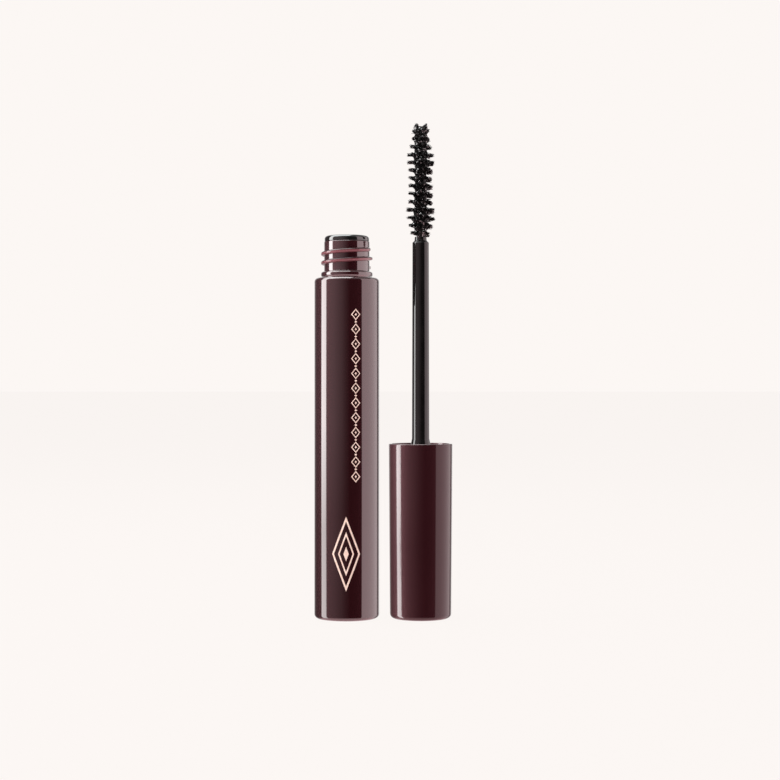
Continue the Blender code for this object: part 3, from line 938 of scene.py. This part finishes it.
# What stands round the object at its own height, as (azimuth, brightness, share of rose). Azimuth 0 is the
# camera's side and +90 the right: a tall narrow strip on the left with a dim fill, nothing in front, and a
# broad soft panel on the right. The backdrop closes the circle.
SIDE_LIGHT = [
    (-180, 1.0, 0), (-160, 0.80, 0), (-150, 0.25, 0.5), (-135, 0.12, 1), (-102, 0.12, 1),
    (-100, 7.0, 0.1), (-78.5, 7.0, 0.1), (-76, 0.48, 1), (-45, 0.50, 1), (-20, 0.32, 1),
    (-3, 0.13, 1), (12, 0.01, 1), (55, 0.01, 1), (57, 1.75, 0.9), (120, 1.75, 0.6),
    (135, 1.6, 0.5), (138, 0.22, 0.5), (150, 0.22, 0.5), (155, 0.9, 0), (180, 1.0, 0),
]
# The brightness is divided by this on its way through a colour ramp, so that the ramp's colours stay under 1.
SIDE_PEAK = 10
NEUTRAL = Vector((1.0, 0.975, 0.965))
ROSE = Vector((1.0, 0.74, 0.77))


def make_floor():
    """A floor that glows like the backdrop, so that its far edge doesn't show, and takes almost no shadow."""
    bm = bmesh.new()
    bmesh.ops.create_grid(bm, x_segments=1, y_segments=1, size=60)
    mesh = bpy.data.meshes.new("floor")
    bm.to_mesh(mesh)
    bm.free()
    floor = bpy.data.objects.new("floor", mesh)
    bpy.context.scene.collection.objects.link(floor)
    floor.location.z = -0.00002
    floor.visible_glossy = False
    floor.visible_diffuse = False
    floor.visible_shadow = False
    look = Look("floor_pale", Base_Color=(0.02, 0.019, 0.019), Roughness=1.0, Specular_IOR_Level=0.0)
    look.set("Emission_Color", BACKDROP)
    look.set("Emission_Strength", BACKDROP_GLOW)
    mesh.materials.append(look.material)


def add_soft_box(name, place, turn, size, radiance):
    """A rectangular light that faces down until it is turned, about X."""
    light = bpy.data.lights.new(name, "AREA")
    light.shape = "RECTANGLE"
    light.size, light.size_y = size
    light.energy = radiance * math.pi * light.size * light.size_y
    obj = bpy.data.objects.new(name, light)
    obj.location = place
    obj.rotation_euler.x = turn
    obj.visible_camera = False
    bpy.context.scene.collection.objects.link(obj)
    return obj


def make_soft_boxes():
    """One overhead, towards the left, and a front fill for matt surfaces, which gloss doesn't mirror."""
    add_soft_box("top_soft", (-0.30, 0.02, 0.70), 0, (0.80, 0.70), 5.5)
    front = add_soft_box("front_fill", (0, -1.0, 0.30), math.radians(75), (1.2, 1.2), 1.9)
    front.visible_glossy = False


def make_cap_strip(cap):
    """A strip light at the left that only the cap mirrors, on top of the strip that everything mirrors."""
    strip = add_soft_box("cap_strip", (WAND_X - 0.60, -0.02, 0.05), 0, (1.2, 0.20), 8.0)
    strip.rotation_euler.y = math.radians(-90)
    receivers = bpy.data.collections.new("cap_strip_receivers")
    receivers.objects.link(cap)
    strip.light_linking.receiver_collection = receivers


def make_world():
    """The soft light round the object. The camera sees only the pale backdrop."""
    world = bpy.data.worlds.new("studio")
    bpy.context.scene.world = world
    graph = Graph(world)
    graph.nodes.clear()
    coords = graph.nodes.new("ShaderNodeTexCoord")
    split = graph.nodes.new("ShaderNodeSeparateXYZ")
    graph.links.new(coords.outputs["Generated"], split.inputs["Vector"])
    x, y, z = split.outputs
    azimuth = graph.math("ARCTAN2", x, graph.math("MULTIPLY", y, -1.0))
    ramp = graph.nodes.new("ShaderNodeValToRGB")
    stops = ramp.color_ramp.elements
    for azimuth_stop, _, _ in SIDE_LIGHT[1:-1]:
        stops.new((azimuth_stop + 180) / 360)
    for stop, (azimuth_stop, level, rose) in zip(stops, SIDE_LIGHT):
        stop.position = (azimuth_stop + 180) / 360
        stop.color = (*NEUTRAL.lerp(ROSE, rose) * level / SIDE_PEAK, 1)
    graph.feed(ramp.inputs["Fac"], graph.map(azimuth, -math.pi, math.pi, 0.0, 1.0))
    # On the left, less light comes from below.
    on_left = graph.map(azimuth, 0.0, 0.4, 1.0, 0.0)
    lower = graph.map(z, -0.13, 0.0, 0.38, 0.0)
    loss = graph.math("MULTIPLY", graph.math("MULTIPLY", on_left, lower), SIDE_PEAK)
    side_level = graph.math("SUBTRACT", SIDE_PEAK, loss)
    scale = graph.nodes.new("ShaderNodeVectorMath")
    scale.operation = "SCALE"
    graph.feed(scale.inputs[0], ramp.outputs["Color"])
    graph.feed(scale.inputs["Scale"], side_level)
    # A grey ceiling closes it above, and a bright rose floor below.
    above = graph.map(z, 0.55, 0.75, 0.0, 1.0)
    below = graph.map(z, -0.65, -0.45, 1.0, 0.0)
    light = graph.mix(above, scale.outputs["Vector"], (0.5, 0.49, 0.48))
    light = graph.mix(below, light, (1.6, 1.08, 1.12))
    studio = graph.nodes.new("ShaderNodeBackground")
    graph.feed(studio.inputs["Color"], light)
    backdrop = graph.nodes.new("ShaderNodeBackground")
    graph.feed(backdrop.inputs["Color"], BACKDROP)
    rays = graph.nodes.new("ShaderNodeLightPath")
    shader = graph.nodes.new("ShaderNodeMixShader")
    graph.links.new(rays.outputs["Is Camera Ray"], shader.inputs["Fac"])
    graph.links.new(studio.outputs["Background"], shader.inputs[1])
    graph.links.new(backdrop.outputs["Background"], shader.inputs[2])
    out = graph.nodes.new("ShaderNodeOutputWorld")
    graph.links.new(shader.outputs["Shader"], out.inputs["Surface"])


def make_camera():
    """Level, straight on, with its axis a little above the middle of the bottle."""
    data = bpy.data.cameras.new("camera")
    data.sensor_width = 36
    distance = 0.42
    view_width = 0.1872
    data.lens = data.sensor_width * distance / view_width
    data.clip_start = 0.01
    data.clip_end = 200
    camera = bpy.data.objects.new("camera", data)
    camera.location = (0.00158, -distance, 0.05465)
    camera.rotation_euler = (math.pi / 2, 0, 0)
    bpy.context.scene.collection.objects.link(camera)
    bpy.context.scene.camera = camera


def main():
    scene = bpy.context.scene
    scene.view_settings.view_transform = "Standard"
    scene.view_settings.look = "None"
    make_camera()
    make_floor()
    make_soft_boxes()
    make_world()
    looks = make_looks()
    make_bottle(looks)
    make_wiper(looks)
    make_paste(looks)
    make_label(looks)
    make_foil(looks)
    make_cap(looks)
    make_inner_cap(looks)
    make_gasket(looks)
    make_rod(looks)
    make_wire(looks)
    rng = random.Random(7)
    for name in ROWS:
        make_row(name, looks, rng)
    make_coat(looks)


main()
